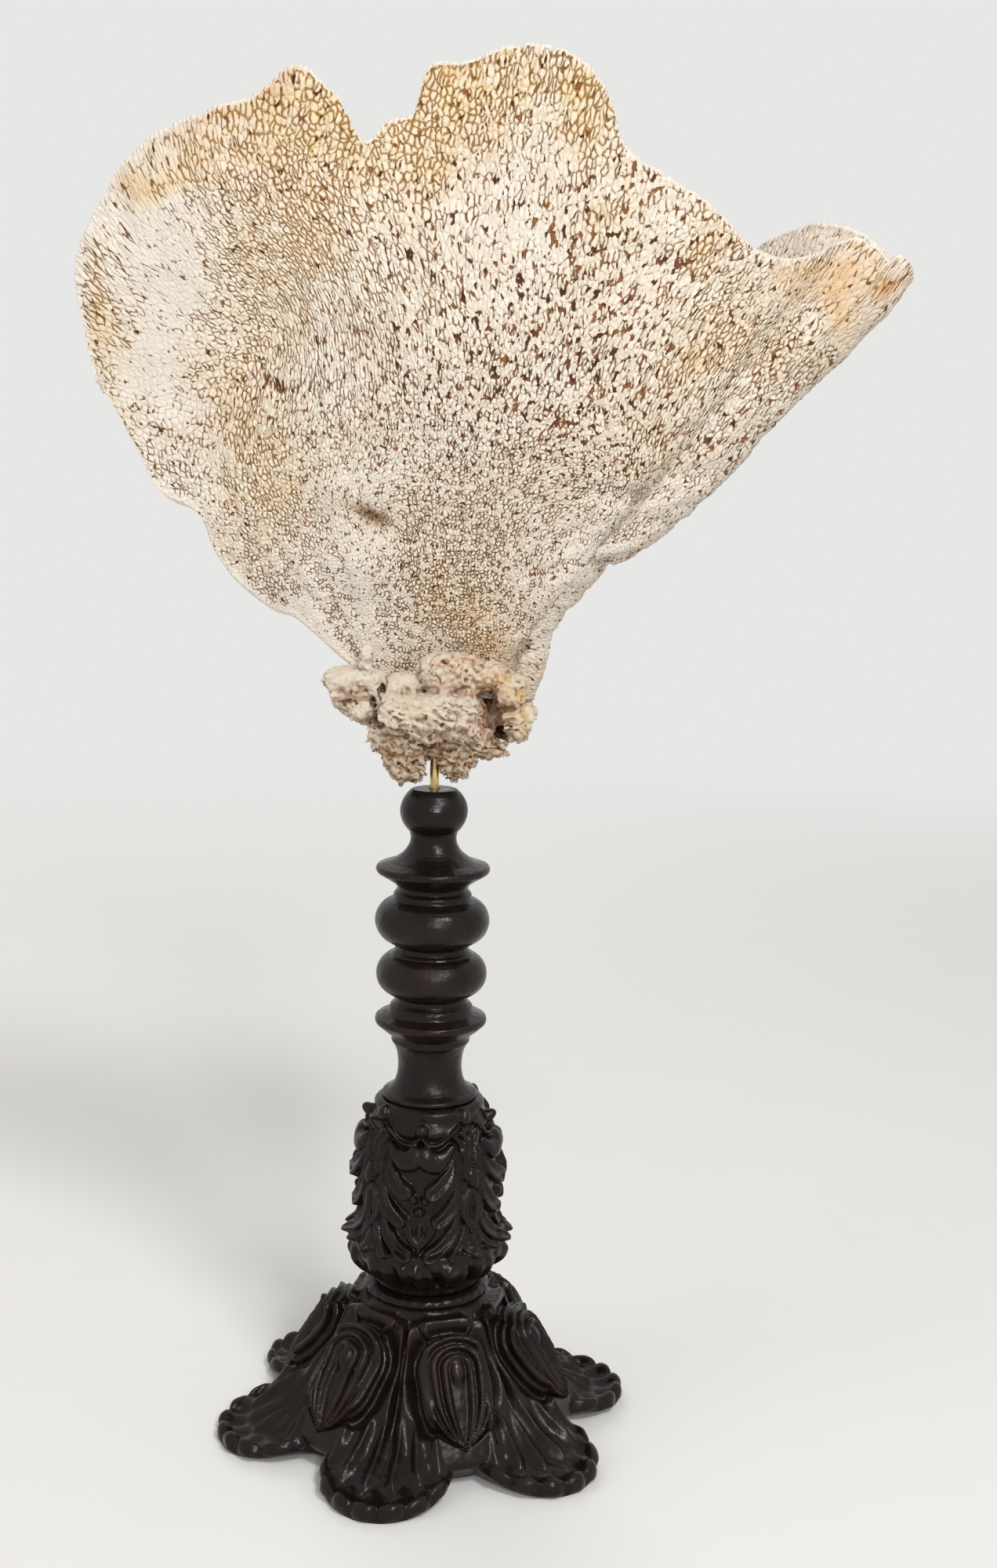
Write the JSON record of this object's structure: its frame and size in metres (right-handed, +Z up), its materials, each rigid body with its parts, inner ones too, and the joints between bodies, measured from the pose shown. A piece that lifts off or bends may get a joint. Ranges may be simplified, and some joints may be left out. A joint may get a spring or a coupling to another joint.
{
  "type": "mounted sea sponge",
  "caption": "dried fan-shaped sea sponge on its clump of coral rubble, held by a brass rod above a turned wooden column and a carved wooden base on leaf feet",
  "frame": {"origin": "centre of the flat underside of the carved base, on the stand's vertical axis, where the object rests", "axes": "+Z up the stand's axis, -Y the way the broad face of the sponge looks, +X to the viewer's right of that face"},
  "size_m": [0.2815, 0.1472, 0.4782],
  "materials": {
    "dried_sponge": "dry, pale tan to ochre sponge skeleton of fine pebbly cells with thin brown crevices and dark pores, fully matte",
    "coral_rubble": "matte cream and pinkish-tan coral limestone rubble, pitted and layered",
    "rod_brass": "plain satin brass rod, slightly dulled",
    "dark_wood": "near-black stained and polished hardwood with a soft gloss, warm brown where it is rubbed"
  },
  "bodies": {
    "root": {"sponge": "dried_sponge", "root_rock": "coral_rubble", "mounting_rod": "rod_brass", "spindle": "dark_wood", "carved_knop": "dark_wood", "carved_base": "dark_wood"}
  },
  "joints": []
}
